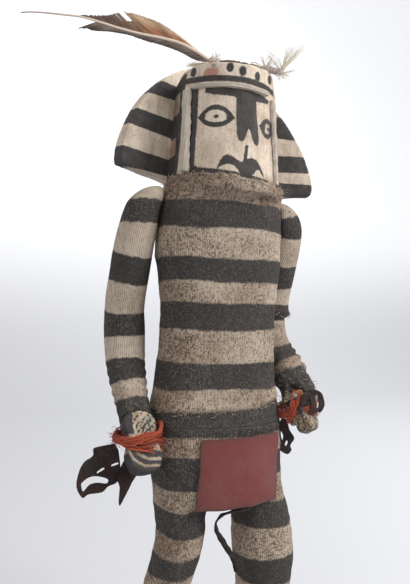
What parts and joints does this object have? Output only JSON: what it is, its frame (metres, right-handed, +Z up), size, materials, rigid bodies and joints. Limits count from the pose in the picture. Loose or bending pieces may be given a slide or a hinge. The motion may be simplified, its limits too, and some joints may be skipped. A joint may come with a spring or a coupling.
{
  "type": "carved wooden doll",
  "caption": "Standing carved wooden doll in a banded knitted suit, with a half-disc headdress board, reed-framed face, red loincloth, leather strips and a crown feather",
  "frame": {"origin": "middle of the bounding box, on the ground under the soles", "axes": "+Z up along the standing doll; the doll faces -Y; its own left hand is on the +X side"},
  "size_m": [0.221, 0.0886, 0.5075],
  "materials": {
    "knit": "matte fine knit painted in black and cream bands",
    "painted_wood": "matte mineral paint on soft carved wood",
    "reed": "bare split reed, satin",
    "plume": "feather, soft sheen",
    "yarn": "wool yarn, fuzzy",
    "string": "cotton string, matte",
    "leather": "old dark leather, dull sheen",
    "red_cloth": "plain woven cloth, matte"
  },
  "bodies": {
    "root": {"body": "knit", "arm_right": "knit", "arm_left": "knit", "hand_right": "painted_wood", "hand_left": "painted_wood", "foot_right": "painted_wood", "foot_left": "painted_wood", "yarn_tie_right": "yarn", "yarn_tie_left": "yarn", "head": "painted_wood", "headdress_board": "painted_wood", "face_strip_top": "reed", "face_strip_right": "reed", "face_strip_left": "reed", "leather_right_long": "leather", "leather_right_short": "leather", "leather_left_loop": "leather", "leather_left_hanging": "leather", "loincloth": "red_cloth", "leg_thong": "leather", "long_feather": "plume", "down_feather": "plume", "crown_knot": "string", "quill_wrap": "leather", "front_thread": "string", "plume_tuft": "plume"}
  },
  "joints": []
}
